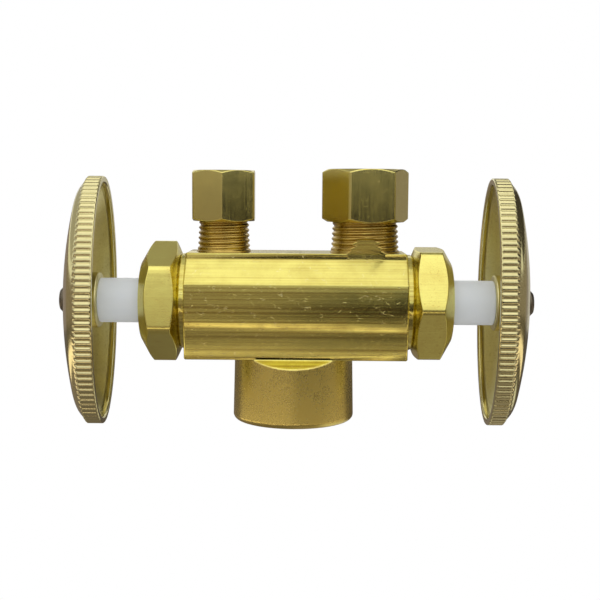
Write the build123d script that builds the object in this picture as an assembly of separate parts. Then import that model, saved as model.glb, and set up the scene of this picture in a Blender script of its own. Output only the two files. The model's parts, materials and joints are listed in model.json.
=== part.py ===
from build123d import *
import math
import os

# Dual outlet stop valve. All sizes are in millimetres.
# Heights are measured from the valve axis, the line through both stems.
# Reaches are measured outwards from the middle of the brass bar, the same way on both sides.

# Brass bar that the body is cut from, as its end shows it
BAR_LENGTH = 45.2
BAR_OFFSET = 0.5            # from the inlet's axis to the middle of the bar
BAR_DEPTH = 21.4            # from the front face to the back face
FLAT_HEIGHT = 8.8           # of the front face
BAR_TOP = 10.7
BAR_UNDERSIDE = 11.0
SHOULDER_DEPTH = 12.2       # front to back where the upper slopes end
SHOULDER_STEP = 1.1         # upright strip above the slopes
FOOT_DEPTH = 18.8           # front to back at the underside
FOOT_STEP = 1.3             # upright strip at the underside
LEG_NECK_DEPTH = 12.7       # front to back of the upper leg, at its narrowest
LEG_NECK_HEIGHT = 2.5       # of that narrow stretch above the bar's top
LEG_FLARE = 1.4             # height over which the upper leg widens again
BOSS_FLARE = 1.8            # height over which the lower leg widens to the boss
TURNING_STOCK = 0.5         # bar left outside each turned form, all round
END_ROUNDING = 0.4

# Inlet boss and its tapped bore
BOSS_REACH = 24.6           # from the valve axis to the mouth
BOSS_TOP_DIAMETER = 24.6
BOSS_MOUTH_DIAMETER = 25.2
BOSS_EDGE_BREAK = 0.7
INLET_BORE = 18.32
INLET_THREAD_LENGTH = 12.0
INLET_COUNTERSINK = 0.8
INLET_PORT = 9.0
DRILL_SLOPE = 0.6           # height of a drilled cone over its radius

# Outlets and compression nuts
OUTLET_SPACING = 29.28
OUTLET_HEIGHT = 22.4
OUTLET_EDGE_BREAK = 0.5
SMALL_TUBE = 6.35
LARGE_TUBE = 9.525
TUBE_CLEARANCE = 0.075      # between a tube and its socket, all round
SOCKET_DEPTH = 8.0
SMALL_THREAD = 11.1
LARGE_THREAD = 14.28
SMALL_PORT = 4.4
LARGE_PORT = 6.8
MOUTH_WIDENING = 0.95       # of each socket's mouth, all round
NUT_THREAD_CLEARANCE = 0.07
NUT_UNDERSIDE = 16.75
SMALL_NUT_FLATS = 12.7
LARGE_NUT_FLATS = 15.875
SMALL_NUT_HEIGHT = 10.4
LARGE_NUT_HEIGHT = 10.8
SMALL_NUT_TURN = 31.3
LARGE_NUT_TURN = 7.3
NUT_HOLE_WALL = 1.6         # length of the straight hole at the top of a nut
NUT_HOLE_CLEARANCE = 0.2    # beyond the tube socket, all round
NUT_END_SLOPE = 0.58        # height of the chamfered corners over their radius
NUT_CORNER_ROUNDING = 0.5
FERRULE_GAP = 0.1

# Valve seats and the bores that lead to them
SEAT_REACH = 8.0
SEAT_BORE = 7.2
SEAT_RIM_WIDTH = 1.0
SEAT_RIM_HEIGHT = 0.8
CHAMBER_BORE = 13.0
SPIGOT_LENGTH = 6.4
SPIGOT_DIAMETER = 19.05
COLLAR_DIAMETER = 19.9      # plain collar beside the bar's end
COLLAR_GAP = 0.1            # from the collar's slope to the packing nut
SPIGOT_EDGE_BREAK = 0.6
PACKING_BORE = 15.8
PACKING_DEPTH = 4.6

# Stem and how it travels
STEM_LEAD = 1.27
STEM_TURNS = 3
STEM_DIAMETER = 9.3
STEM_THREAD_LENGTH = 5.0
STEM_THREAD_CLEARANCE = 0.05
STEM_WAIST_DIAMETER = 8.4
STEM_CUP_WALL = 0.7
STEM_CUP_FLOOR = 1.3
STEM_CUP_RIM = 1.2          # depth of the cup that holds the seat washer
STEM_STOP_GAP = 0.1         # between the open stem and the packing washer
TAIL_FLATS = 5.6            # square end that the handle sits on
TAIL_LENGTH = 5.0
SEAT_GAP = 0.05             # left between washer and seat when closed
SEAT_WASHER_DIAMETER = 10.0
SEAT_WASHER_THICKNESS = 2.4
WASHER_PLAY = 0.05
CUP_CLEARANCE = 0.1
WASHER_SCREW_DIAMETER = 3.2
WASHER_SCREW_LENGTH = 6.5
WASHER_SCREW_HEAD = 5.2
WASHER_SCREW_HEAD_HEIGHT = 1.4

# Packing and packing nut
STEM_CLEARANCE = 0.1        # round the stem, in the metal rings and the nut
PACKING_CLEARANCE = 0.05    # round the stem, in the rubber ring
RING_CLEARANCE = 0.05       # between the rings and the packing bore
PACKING_WASHER_THICKNESS = 0.8
PACKING_RING_THICKNESS = 2.8
FRICTION_RING_THICKNESS = 1.3
PACKING_NUT_FLATS = 22.2
PACKING_NUT_LENGTH = 7.9
PACKING_NUT_WALL = 2.7      # end wall round the stem
PACKING_NUT_FACE = 16.6     # diameter of the flat outer end
PACKING_NUT_CONE = 2.6      # length of the outer cone
PACKING_NUT_CHAMFER = 1.15  # length of the inner chamfer
PACKING_NUT_INNER_FACE = 20.4
PACKING_NUT_ROUNDING = 2.0
SPIGOT_CLEARANCE = 0.075
LEFT_NUT_TILT = 36.5        # from the front to the next corner above it, in degrees
RIGHT_NUT_TILT = -2.5

# Handles
HANDLE_RIM_REACH = 40.15
HANDLE_LONG = 51.8
HANDLE_SHORT = 29.34
BAND_WIDTH = 3.2            # of the reeded band
TEETH = 100
TOOTH_DEPTH = 0.45
BAND_WALL = 0.95
DOME_INSET = 0.5            # from the reeding's tips to the foot of the dome
DOME_HEIGHT = 8.1           # from the rim's plane to the crown
CROWN_RADIUS = 93.0
SHOULDER_RUN = 3.2
SHEET = 1.1
HUB_DIAMETER = 11.6
HUB_RECESS = 0.85           # of the hub's face behind the rim's plane
SOCKET_CLEARANCE = 0.05
SOCKET_FLOOR_GAP = 0.2
LEFT_HANDLE_TURN = 4.3      # of the long axis, in degrees
RIGHT_HANDLE_TURN = 1.1
HANDLE_SCREW_DIAMETER = 3.2
HANDLE_SCREW_LENGTH = 11.0
HANDLE_SCREW_HEAD = 5.4
HANDLE_SCREW_HEAD_HEIGHT = 1.15
SCREW_HOLE_CLEARANCE = 0.15
SPOT_FACE = 6.0
SPOT_FACE_DEPTH = 0.1
RECESS_WIDTH = 0.8
RECESS_DEPTH = 0.6

# Places that several pieces share
AXIS_HEIGHT = BOSS_REACH - INLET_COUNTERSINK
BAR_END = BAR_LENGTH / 2
SPIGOT_END = BAR_END + SPIGOT_LENGTH
PACKING_LEDGE = SPIGOT_END - PACKING_DEPTH
STEM_TRAVEL = STEM_TURNS * STEM_LEAD
WASHER_FACE = SEAT_REACH + SEAT_GAP + STEM_TRAVEL
WASHER_BACK = WASHER_FACE + SEAT_WASHER_THICKNESS
CUP_FLOOR = WASHER_BACK + WASHER_PLAY
RING_STACK = PACKING_WASHER_THICKNESS + PACKING_RING_THICKNESS + FRICTION_RING_THICKNESS
NUT_PRESSING_FACE = PACKING_LEDGE + RING_STACK
PACKING_NUT_END = NUT_PRESSING_FACE + PACKING_NUT_WALL
PACKING_NUT_START = PACKING_NUT_END - PACKING_NUT_LENGTH
HUB_FACE = HANDLE_RIM_REACH + HUB_RECESS
CROWN = HANDLE_RIM_REACH + DOME_HEIGHT
HANDLE_SCREW_SEAT = CROWN - SPOT_FACE_DEPTH
TAIL_END = HUB_FACE + TAIL_LENGTH


def turned(outline):
    """Solid turned about the X axis from (reach, radius) points."""
    return revolve(make_face(Polyline(*outline, close=True)), Axis.X)


def turned_upright(outline):
    """Solid turned about the Z axis from (radius, height) points."""
    return revolve(Plane.XZ * make_face(Polyline(*outline, close=True)), Axis.Z)


def rod(start, end, diameter):
    """Round bar along X."""
    return turned([(start, 0), (end, 0), (end, diameter / 2), (start, diameter / 2)])


def ring(start, thickness, bore, diameter):
    """Flat ring along X."""
    return rod(start, start + thickness, diameter) - rod(start, start + thickness, bore)


def hexagon(flats, rounding):
    """Hexagon with rounded corners, with its first corner on its own x axis."""
    sharp = RegularPolygon(flats / 2, 6, major_radius=False)
    return fillet(sharp.vertices(), rounding)


def bar_section():
    """Section of the extruded bar, front to back and up."""
    shoulder = BAR_TOP - SHOULDER_STEP
    leg_top = OUTLET_HEIGHT + TURNING_STOCK
    leg_depth = LARGE_THREAD + 2 * TURNING_STOCK
    boss_depth = BOSS_MOUTH_DIAMETER + 2 * TURNING_STOCK
    neck_end = BAR_TOP + LEG_NECK_HEIGHT
    front = [
        (leg_depth / 2, leg_top),
        (leg_depth / 2, neck_end + LEG_FLARE),
        (LEG_NECK_DEPTH / 2, neck_end),
        (SHOULDER_DEPTH / 2, BAR_TOP),
        (SHOULDER_DEPTH / 2, shoulder),
        (BAR_DEPTH / 2, FLAT_HEIGHT / 2),
        (BAR_DEPTH / 2, -FLAT_HEIGHT / 2),
        (FOOT_DEPTH / 2, -BAR_UNDERSIDE + FOOT_STEP),
        (FOOT_DEPTH / 2, -BAR_UNDERSIDE),
        (boss_depth / 2, -BAR_UNDERSIDE - BOSS_FLARE),
        (boss_depth / 2, -BOSS_REACH - TURNING_STOCK),
    ]
    back = [(-depth, height) for depth, height in reversed(front)]
    return make_face(Polyline(*front, *back, close=True))


def boss_form():
    """Turned envelope of the inlet boss, from inside the bar down to its mouth."""
    mouth = BOSS_MOUTH_DIAMETER / 2
    return turned_upright([
        (0, -BAR_UNDERSIDE + FOOT_STEP),
        (BOSS_TOP_DIAMETER / 2, -BAR_UNDERSIDE + FOOT_STEP),
        (BOSS_TOP_DIAMETER / 2, -BAR_UNDERSIDE),
        (mouth, -BOSS_REACH + BOSS_EDGE_BREAK),
        (mouth - BOSS_EDGE_BREAK, -BOSS_REACH),
        (0, -BOSS_REACH),
    ])


def outlet_form(reach, thread):
    """Turned envelope of one outlet, from inside the bar up to its mouth."""
    form = turned_upright([
        (0, 0),
        (thread / 2, 0),
        (thread / 2, OUTLET_HEIGHT - OUTLET_EDGE_BREAK),
        (thread / 2 - OUTLET_EDGE_BREAK, OUTLET_HEIGHT),
        (0, OUTLET_HEIGHT),
    ])
    return Pos(reach, 0, 0) * form


def socket_radius(tube):
    """Radius of the socket that a tube slides into."""
    return tube / 2 + TUBE_CLEARANCE


def outlet_waterway(reach, tube, port):
    """Space inside one outlet: widened mouth, tube socket and the port down to the stem."""
    socket = socket_radius(tube)
    mouth = socket + MOUTH_WIDENING
    space = turned_upright([
        (0, 0),
        (port / 2, 0),
        (port / 2, OUTLET_HEIGHT - SOCKET_DEPTH),
        (socket, OUTLET_HEIGHT - SOCKET_DEPTH),
        (socket, OUTLET_HEIGHT - MOUTH_WIDENING),
        (mouth, OUTLET_HEIGHT),
        (0, OUTLET_HEIGHT),
    ])
    return Pos(reach, 0, 0) * space


def inlet_waterway():
    """Space inside the boss: countersink, tapped bore, drilled cone and port up to the seats."""
    bore = INLET_BORE / 2
    port = INLET_PORT / 2
    thread_start = -BOSS_REACH + INLET_COUNTERSINK
    thread_end = thread_start + INLET_THREAD_LENGTH
    cone_end = thread_end + (bore - port) * DRILL_SLOPE
    return turned_upright([
        (0, -BOSS_REACH),
        (bore + INLET_COUNTERSINK, -BOSS_REACH),
        (bore, thread_start),
        (bore, thread_end),
        (port, cone_end),
        (port, port),
        (0, port + port * DRILL_SLOPE),
    ])


def spigot():
    """Plain collar and threaded spigot on one end of the bar, before it is bored."""
    radius = SPIGOT_DIAMETER / 2
    collar = COLLAR_DIAMETER / 2
    slope_end = PACKING_NUT_START - COLLAR_GAP
    return turned([
        (SEAT_REACH, 0),
        (SEAT_REACH, CHAMBER_BORE / 2),
        (BAR_END - END_ROUNDING, collar),
        (slope_end - (collar - radius), collar),
        (slope_end, radius),
        (SPIGOT_END - SPIGOT_EDGE_BREAK, radius),
        (SPIGOT_END, radius - SPIGOT_EDGE_BREAK),
        (SPIGOT_END, 0),
    ])


def shut_off_waterway():
    """Space inside one end: the seat with its raised rim, the stem's bore and the packing bore."""
    floor = SEAT_REACH - SEAT_RIM_HEIGHT
    seat = SEAT_BORE / 2
    rim = seat + SEAT_RIM_WIDTH
    return turned([
        (0, 0),
        (0, seat),
        (SEAT_REACH, seat),
        (SEAT_REACH, rim),
        (floor, rim),
        (floor, CHAMBER_BORE / 2),
        (PACKING_LEDGE, CHAMBER_BORE / 2),
        (PACKING_LEDGE, PACKING_BORE / 2),
        (SPIGOT_END, PACKING_BORE / 2),
        (SPIGOT_END, 0),
    ])


def on_side(piece, side):
    """A piece modelled on the +X side, carried to its own side of the bar."""
    turn = 0 if side > 0 else 180
    return Pos(BAR_OFFSET, 0, 0) * Rot(0, 0, turn) * piece


def valve_body():
    """Bar with turned outlets and boss, spigots on both ends and all its waterways."""
    bar = extrude(Plane.YZ * bar_section(), BAR_LENGTH / 2, both=True)
    middle = (BAR_TOP - BAR_UNDERSIDE) / 2
    core = Pos(0, 0, middle) * Box(BAR_LENGTH, BAR_DEPTH, BAR_TOP + BAR_UNDERSIDE)
    block = bar & core
    ends = block.faces().filter_by(Axis.X).edges()
    block = Pos(BAR_OFFSET, 0, 0) * fillet(ends, END_ROUNDING)
    bar = Pos(BAR_OFFSET, 0, 0) * bar
    reach = OUTLET_SPACING / 2
    body = block + (bar & boss_form())
    body += bar & outlet_form(-reach, SMALL_THREAD)
    body += bar & outlet_form(reach, LARGE_THREAD)
    for side in (-1, 1):
        body += on_side(spigot(), side)
    body -= inlet_waterway()
    body -= outlet_waterway(-reach, SMALL_TUBE, SMALL_PORT)
    body -= outlet_waterway(reach, LARGE_TUBE, LARGE_PORT)
    for side in (-1, 1):
        body -= on_side(shut_off_waterway(), side)
    return body


def packing_nut(tilt):
    """Hexagonal nut over the spigot, coned at its outer end, with a corner tilted up."""
    start = PACKING_NUT_START
    section = Rot(0, 0, tilt) * hexagon(PACKING_NUT_FLATS, PACKING_NUT_ROUNDING)
    prism = extrude(Plane.YZ.offset(start) * section, PACKING_NUT_LENGTH)
    corner = PACKING_NUT_FLATS / math.sqrt(3)
    envelope = turned([
        (start, 0),
        (start, PACKING_NUT_INNER_FACE / 2),
        (start + PACKING_NUT_CHAMFER, corner),
        (PACKING_NUT_END - PACKING_NUT_CONE, corner),
        (PACKING_NUT_END, PACKING_NUT_FACE / 2),
        (PACKING_NUT_END, 0),
    ])
    thread = rod(start, NUT_PRESSING_FACE, SPIGOT_DIAMETER + 2 * SPIGOT_CLEARANCE)
    hole = rod(NUT_PRESSING_FACE, PACKING_NUT_END, STEM_DIAMETER + 2 * STEM_CLEARANCE)
    return (prism & envelope) - thread - hole


def packing_washer():
    """Metal ring on the ledge of the packing bore, which also stops the open stem."""
    bore = STEM_DIAMETER + 2 * STEM_CLEARANCE
    return ring(PACKING_LEDGE, PACKING_WASHER_THICKNESS, bore, PACKING_BORE - 2 * RING_CLEARANCE)


def packing_ring():
    """Rubber ring that seals the stem."""
    start = PACKING_LEDGE + PACKING_WASHER_THICKNESS
    bore = STEM_DIAMETER + 2 * PACKING_CLEARANCE
    return ring(start, PACKING_RING_THICKNESS, bore, PACKING_BORE - 2 * RING_CLEARANCE)


def friction_ring():
    """Metal ring between the rubber and the nut, standing just proud of the spigot."""
    start = NUT_PRESSING_FACE - FRICTION_RING_THICKNESS
    bore = STEM_DIAMETER + 2 * STEM_CLEARANCE
    return ring(start, FRICTION_RING_THICKNESS, bore, PACKING_BORE - 2 * RING_CLEARANCE)


def tail(flats, start, end):
    """Square bar along X."""
    return Pos((start + end) / 2, 0, 0) * Box(end - start, flats, flats)


def stem(turn):
    """Plastic stem, fully open: washer cup, waist, threaded length, shaft and square tail."""
    cup = SEAT_WASHER_DIAMETER / 2 + CUP_CLEARANCE
    thread = CHAMBER_BORE / 2 - STEM_THREAD_CLEARANCE
    thread_end = PACKING_LEDGE - STEM_STOP_GAP
    thread_start = thread_end - STEM_THREAD_LENGTH
    cup_back = CUP_FLOOR + STEM_CUP_FLOOR
    lead_in = thread - STEM_WAIST_DIAMETER / 2
    body = turned([
        (CUP_FLOOR, 0),
        (CUP_FLOOR, cup),
        (CUP_FLOOR - STEM_CUP_RIM, cup),
        (CUP_FLOOR - STEM_CUP_RIM, cup + STEM_CUP_WALL),
        (cup_back, cup + STEM_CUP_WALL),
        (cup_back, STEM_WAIST_DIAMETER / 2),
        (thread_start - lead_in / 2, STEM_WAIST_DIAMETER / 2),
        (thread_start, thread - lead_in / 2),
        (thread_start + lead_in / 2, thread),
        (thread_end, thread),
        (thread_end, STEM_DIAMETER / 2),
        (HUB_FACE, STEM_DIAMETER / 2),
        (HUB_FACE, 0),
    ])
    body += tail(TAIL_FLATS, HUB_FACE, TAIL_END)
    body -= rod(HANDLE_SCREW_SEAT - HANDLE_SCREW_LENGTH, TAIL_END, HANDLE_SCREW_DIAMETER)
    body -= rod(CUP_FLOOR, washer_screw_tip(), WASHER_SCREW_DIAMETER)
    return Rot(turn, 0, 0) * body


def seat_washer():
    """Rubber washer that closes on the seat."""
    bore = WASHER_SCREW_DIAMETER + 2 * CUP_CLEARANCE
    return ring(WASHER_FACE, SEAT_WASHER_THICKNESS, bore, SEAT_WASHER_DIAMETER)


def washer_screw_tip():
    """Reach of the washer screw's outer end, inside the stem."""
    return WASHER_FACE - WASHER_PLAY + WASHER_SCREW_LENGTH


def washer_screw(turn):
    """Slotted pan head screw that holds the seat washer."""
    seat = WASHER_FACE - WASHER_PLAY
    head = seat - WASHER_SCREW_HEAD_HEIGHT
    radius = WASHER_SCREW_HEAD / 2
    crown = WASHER_SCREW_HEAD_HEIGHT / 2
    body = turned([
        (head, 0),
        (head, radius - crown),
        (head + crown, radius),
        (seat, radius),
        (seat, WASHER_SCREW_DIAMETER / 2),
        (washer_screw_tip(), WASHER_SCREW_DIAMETER / 2),
        (washer_screw_tip(), 0),
    ])
    slot = Box(RECESS_DEPTH, WASHER_SCREW_HEAD, RECESS_WIDTH)
    body -= Pos(head + RECESS_DEPTH / 2, 0, 0) * slot
    return Rot(turn, 0, 0) * body


def rim_angles(long_half, short_half, count):
    """Angles of an ellipse's own parameter, at equal distances along its rim."""
    steps = 20 * count
    travelled = [0.0]
    for step in range(steps):
        angle = 2 * math.pi * (step + 0.5) / steps
        stride = math.hypot(long_half * math.sin(angle), short_half * math.cos(angle))
        travelled.append(travelled[-1] + stride)
    angles = []
    step = 0
    for mark in range(count):
        target = travelled[-1] * mark / count
        while travelled[step] < target:
            step += 1
        angles.append(2 * math.pi * step / steps)
    return angles


def reeded_oval():
    """Outline of the reeded band: flat crests on an oval, with a V groove after each one."""
    long_half = HANDLE_LONG / 2
    short_half = HANDLE_SHORT / 2
    points = []
    for mark, angle in enumerate(rim_angles(long_half, short_half, 3 * TEETH)):
        depth = TOOTH_DEPTH if mark % 3 == 2 else 0
        across = short_half * math.sin(angle)
        up = long_half * math.cos(angle)
        normal = (across / short_half ** 2, up / long_half ** 2)
        length = math.hypot(*normal)
        points.append((across - depth * normal[0] / length, up - depth * normal[1] / length))
    return make_face(Polyline(*points, close=True))


def oval_dome(inset, side, height):
    """Solid under an oval dome: straight side, rounded shoulder and shallow crown.

    It is turned round and then narrowed to the oval. The inset is measured from the band's tips.
    """
    long_half = HANDLE_LONG / 2 - inset
    short_half = HANDLE_SHORT / 2 - inset
    crown_edge = long_half - SHOULDER_RUN
    slope = math.asin(crown_edge / CROWN_RADIUS)
    drop = CROWN_RADIUS * (1 - math.cos(slope))
    middle = CROWN_RADIUS * (1 - math.cos(slope / 2))
    crown_end = (height - drop, crown_edge)
    crown = ThreePointArc(
        (height, 0),
        (height - middle, CROWN_RADIUS * math.sin(slope / 2)),
        crown_end,
    )
    shoulder = TangentArc(crown_end, (side, long_half), tangent=(-math.sin(slope), math.cos(slope)))
    base = Polyline((side, long_half), (0, long_half), (0, 0), (height, 0))
    dome = revolve(make_face(Curve() + [crown, shoulder, base]), Axis.X)
    return Pos(HANDLE_RIM_REACH, 0, 0) * scale(dome, (1, short_half / long_half, 1))


def handle(turn):
    """Oval dished handle with a reeded rim, a hub with a square socket and a screw hole."""
    band = extrude(Plane.YZ.offset(HANDLE_RIM_REACH) * reeded_oval(), BAND_WIDTH)
    shell = band + oval_dome(DOME_INSET, BAND_WIDTH, DOME_HEIGHT)
    shell -= oval_dome(TOOTH_DEPTH + BAND_WALL, BAND_WIDTH - SHEET / 2, DOME_HEIGHT - SHEET)
    shell += rod(HUB_FACE, CROWN - SHEET / 2, HUB_DIAMETER)
    shell -= tail(TAIL_FLATS + 2 * SOCKET_CLEARANCE, HUB_FACE, TAIL_END + SOCKET_FLOOR_GAP)
    shell -= rod(TAIL_END, CROWN, HANDLE_SCREW_DIAMETER + 2 * SCREW_HOLE_CLEARANCE)
    shell -= rod(HANDLE_SCREW_SEAT, CROWN + SHEET, SPOT_FACE)
    return Rot(turn, 0, 0) * shell


def handle_screw(turn):
    """Pan head screw with a cross recess, through the handle into the stem."""
    top = HANDLE_SCREW_SEAT + HANDLE_SCREW_HEAD_HEIGHT
    radius = HANDLE_SCREW_HEAD / 2
    crown = HANDLE_SCREW_HEAD_HEIGHT / 2
    tip = HANDLE_SCREW_SEAT - HANDLE_SCREW_LENGTH
    body = turned([
        (top, 0),
        (top, radius - crown),
        (top - crown, radius),
        (HANDLE_SCREW_SEAT, radius),
        (HANDLE_SCREW_SEAT, HANDLE_SCREW_DIAMETER / 2),
        (tip, HANDLE_SCREW_DIAMETER / 2),
        (tip, 0),
    ])
    reach = Pos(top - RECESS_DEPTH / 2, 0, 0)
    body -= reach * Box(RECESS_DEPTH, HANDLE_SCREW_HEAD / 2, RECESS_WIDTH)
    body -= reach * Box(RECESS_DEPTH, RECESS_WIDTH, HANDLE_SCREW_HEAD / 2)
    return Rot(turn, 0, 0) * body


def compression_nut(tube, thread, flats, height, turn):
    """Hexagonal nut with a threaded bore, an inner cone for the sleeve and a tube hole."""
    low = NUT_UNDERSIDE
    high = low + height
    corner = flats / math.sqrt(3)
    drop = (corner - flats / 2) * NUT_END_SLOPE
    prism = extrude(Plane.XY.offset(low) * Rot(0, 0, turn) * hexagon(flats, NUT_CORNER_ROUNDING), height)
    envelope = turned_upright([
        (0, low),
        (flats / 2, low),
        (corner, low + drop),
        (corner, high - drop),
        (flats / 2, high),
        (0, high),
    ])
    bore = thread / 2 + NUT_THREAD_CLEARANCE
    hole = socket_radius(tube) + NUT_HOLE_CLEARANCE
    cone_top = high - NUT_HOLE_WALL
    inside = turned_upright([
        (0, low),
        (bore, low),
        (bore, cone_top - (bore - hole)),
        (hole, cone_top),
        (hole, high),
        (0, high),
    ])
    return (prism & envelope) - inside


def ferrule(tube, height):
    """Compression sleeve between the outlet's mouth and the cone inside the nut."""
    bore = socket_radius(tube)
    nose = bore + NUT_HOLE_CLEARANCE
    outside = bore + MOUTH_WIDENING - FERRULE_GAP / 2
    slant = FERRULE_GAP * math.sqrt(2)
    low = OUTLET_HEIGHT - MOUTH_WIDENING + (nose - bore) + slant
    high = NUT_UNDERSIDE + height - NUT_HOLE_WALL - slant
    return turned_upright([
        (bore, low),
        (nose, low),
        (outside, low + outside - nose),
        (outside, high - (outside - nose)),
        (nose, high),
        (bore, high),
    ])


def save(name, piece):
    """Write one piece, raised so that the origin is the inlet's centre just inside its mouth."""
    piece = Pos(0, 0, AXIS_HEIGHT) * piece
    piece.label = name
    export_step(piece, os.path.join("parts", name + ".step"))


def save_shut_off(name, side, nut_tilt, turn):
    """Write the pieces of one shut-off unit. The turn is that of its stem and handle, in degrees."""
    pieces = {
        "packing_nut": packing_nut(-side * nut_tilt),
        "packing_washer": packing_washer(),
        "packing_ring": packing_ring(),
        "friction_ring": friction_ring(),
        "stem": stem(turn),
        "seat_washer": seat_washer(),
        "washer_screw": washer_screw(turn),
        "handle": handle(turn),
        "handle_screw": handle_screw(turn),
    }
    for piece_name, piece in pieces.items():
        save(name + "_" + piece_name, on_side(piece, side))


def save_tube_joint(name, reach, tube, thread, flats, height, turn):
    """Write the nut and sleeve of one outlet."""
    nut = compression_nut(tube, thread, flats, height, turn)
    save(name + "_compression_nut", Pos(reach, 0, 0) * nut)
    save(name + "_ferrule", Pos(reach, 0, 0) * ferrule(tube, height))


def main():
    """Write every piece of the valve."""
    os.makedirs("parts", exist_ok=True)
    reach = OUTLET_SPACING / 2
    save("valve_body", valve_body())
    save_shut_off("left", -1, LEFT_NUT_TILT, LEFT_HANDLE_TURN)
    save_shut_off("right", 1, RIGHT_NUT_TILT, RIGHT_HANDLE_TURN)
    save_tube_joint("small", -reach, SMALL_TUBE, SMALL_THREAD, SMALL_NUT_FLATS,
                    SMALL_NUT_HEIGHT, SMALL_NUT_TURN)
    save_tube_joint("large", reach, LARGE_TUBE, LARGE_THREAD, LARGE_NUT_FLATS,
                    LARGE_NUT_HEIGHT, LARGE_NUT_TURN)


main()
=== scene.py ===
"""Studio picture of a brass dual outlet stop valve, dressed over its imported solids.

Sizes are in millimetres and angles in degrees unless a name says otherwise. Heights and reaches of
the valve's own pieces are measured from the valve axis and from the middle of its bar.
"""

import json
import logging
import math
from dataclasses import dataclass
from enum import Enum

import bmesh
import bpy
import numpy as np
from mathutils import Matrix, Vector


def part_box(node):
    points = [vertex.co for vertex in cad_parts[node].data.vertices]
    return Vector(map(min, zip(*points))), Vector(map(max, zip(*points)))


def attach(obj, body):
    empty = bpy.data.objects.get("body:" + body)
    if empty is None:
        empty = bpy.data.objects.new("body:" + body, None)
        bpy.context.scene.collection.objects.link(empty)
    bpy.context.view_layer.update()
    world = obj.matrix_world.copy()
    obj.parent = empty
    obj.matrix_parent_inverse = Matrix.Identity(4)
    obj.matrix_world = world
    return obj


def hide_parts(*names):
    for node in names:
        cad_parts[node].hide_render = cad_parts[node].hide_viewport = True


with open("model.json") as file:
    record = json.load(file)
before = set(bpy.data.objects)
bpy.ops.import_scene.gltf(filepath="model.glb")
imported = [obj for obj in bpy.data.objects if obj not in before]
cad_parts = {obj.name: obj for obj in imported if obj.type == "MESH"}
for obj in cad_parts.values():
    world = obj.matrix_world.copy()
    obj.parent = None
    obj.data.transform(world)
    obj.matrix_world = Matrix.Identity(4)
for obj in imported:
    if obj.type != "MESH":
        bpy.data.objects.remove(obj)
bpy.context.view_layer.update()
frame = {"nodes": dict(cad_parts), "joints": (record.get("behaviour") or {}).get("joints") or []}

MM = 0.001
FINE = 1e-6  # a difference that is none, and the metres within which two mesh points are one

log = logging.getLogger("stop_valve")


class Side(Enum):
    """The two ends of the valve axis."""

    LEFT = -1
    RIGHT = 1

    @property
    def word(self) -> str:
        """The side's name, as the nodes spell it."""
        return self.name.lower()


class Grain(Enum):
    """How a brass surface was last worked, with the factors that stretch its fine lines."""

    DRAWN_ALONG_X = (0.02, 3.0, 3.0)
    DRAWN_ALONG_Z = (3.0, 3.0, 0.04)
    TURNED_ABOUT_Z = (4.0, 4.0, 4.0)
    CAST = (1.5, 1.5, 1.5)


# Places read from the frame


def joint_place(name: str) -> Vector:
    """A point on a joint's axis, in millimetres.

    Args:
        name: the joint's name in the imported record.

    Returns:
        The point as a vector.
    """
    joint = next(j for j in frame["joints"] if j["name"] == name)
    return Vector(joint["pos_m"]) / MM


def node_box(name: str) -> tuple[Vector, Vector]:
    """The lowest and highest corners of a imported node, in millimetres.

    Args:
        name: the node's name.

    Returns:
        The two corners.
    """
    low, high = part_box(name)
    return low / MM, high / MM


BAR_MIDDLE = joint_place("left_stem_turn").x
AXIS_HEIGHT = joint_place("left_stem_turn").z


# Curves and grids

FLAT_MARGIN = 0.12  # from an arc's end to the point that keeps the next flat's shading flat
SAME_PLACE = 1e-5  # outline points nearer than this are one
CROWDING = 1.7  # power that draws directions towards a hexagon's corners

# Heights, distances up and distances across, each rows by columns
Rows = tuple[np.ndarray, np.ndarray, np.ndarray]

def unit(vectors: np.ndarray) -> np.ndarray:
    """Each row divided by its own length."""
    return vectors / np.linalg.norm(vectors, axis=-1, keepdims=True)


def rounded(corners: list[tuple[float, float]], radii: list[float], steps: int = 4) -> np.ndarray:
    """Closed outline with an arc at each corner.

    The arc of radius r at a corner where the outline turns by an angle a starts r tan(a/2) before the
    corner. Its points are the arc's centre plus the first spoke turned by equal shares of a. One more
    point stands just before and just after each arc, so that shading stays flat between the arcs.

    Args:
        corners: the outline's corner points, in order.
        radii: the radius at each corner.
        steps: the number of facets in each arc.

    Returns:
        The outline's points, one row each.
    """
    here = np.array(corners, float)
    radius = np.array(radii, float)[:, None]
    back = here - np.roll(here, 1, axis=0)
    ahead = np.roll(here, -1, axis=0) - here
    coming = unit(back)
    going = unit(ahead)
    cross = coming[:, 0] * going[:, 1] - coming[:, 1] * going[:, 0]
    turn = np.arctan2(cross, (coming * going).sum(1))[:, None]
    run = radius * np.tan(np.abs(turn) / 2)
    left_normal = np.stack([-coming[:, 1], coming[:, 0]], 1) * np.sign(turn)
    start = here - coming * run
    centre = start + left_normal * radius
    share = np.linspace(0, 1, steps + 1)[None, :]
    angle = turn * share
    spoke = (start - centre)[:, None, :]
    cos, sin = np.cos(angle), np.sin(angle)
    arc = np.stack([
        spoke[..., 0] * cos - spoke[..., 1] * sin,
        spoke[..., 0] * sin + spoke[..., 1] * cos,
    ], 2) + centre[:, None, :]
    room_back = np.linalg.norm(back, axis=1, keepdims=True)
    room_ahead = np.linalg.norm(ahead, axis=1, keepdims=True)
    before = start - coming * np.minimum(FLAT_MARGIN, room_back / 6)
    after = here + going * (run + np.minimum(FLAT_MARGIN, room_ahead / 6))
    points = np.concatenate([before[:, None], arc, after[:, None]], 1).reshape(-1, 2)
    apart = np.linalg.norm(points - np.roll(points, 1, axis=0), axis=1)
    return points[apart > SAME_PLACE]


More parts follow.
